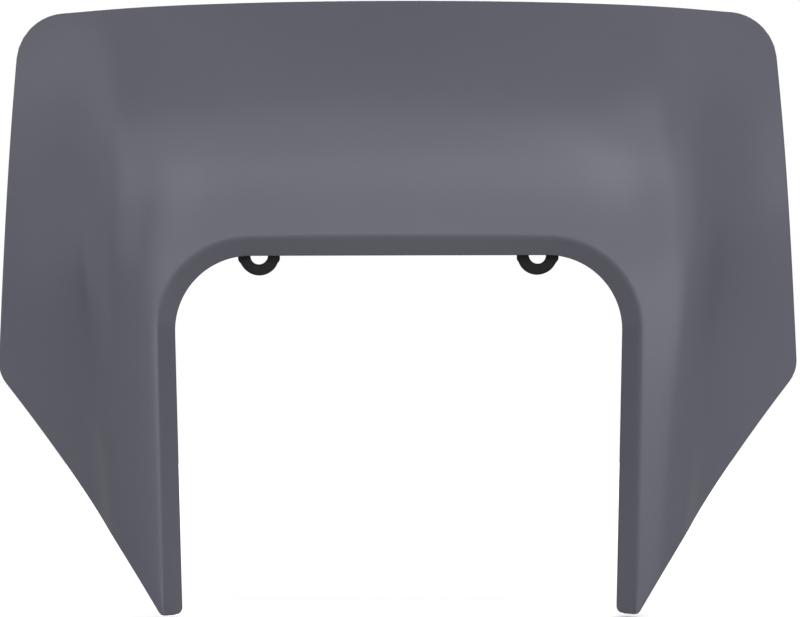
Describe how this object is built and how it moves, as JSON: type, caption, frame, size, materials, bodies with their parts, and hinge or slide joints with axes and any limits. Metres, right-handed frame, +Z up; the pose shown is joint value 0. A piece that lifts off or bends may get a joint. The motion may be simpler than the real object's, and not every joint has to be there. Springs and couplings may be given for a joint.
{
  "type": "headlight mask",
  "caption": "Curved moulded motorbike headlight mask with swept wings, an open-bottomed lamp opening with a turned-in lip, and rubber grommets in moulded lugs behind the brow.",
  "frame": {"origin": "midway between the two grommet bores, on the rear face of the grommets", "axes": "+X to the right seen from the front, -Y towards the front, +Z up"},
  "size_m": [0.291, 0.078, 0.2213],
  "materials": {
    "mask_plastic": "semi-matte moulded grey",
    "grommet_rubber": "matte black"
  },
  "bodies": {
    "root": {"mask_shell": "mask_plastic", "left_rubber_grommet": "grommet_rubber", "right_rubber_grommet": "grommet_rubber"}
  },
  "joints": []
}
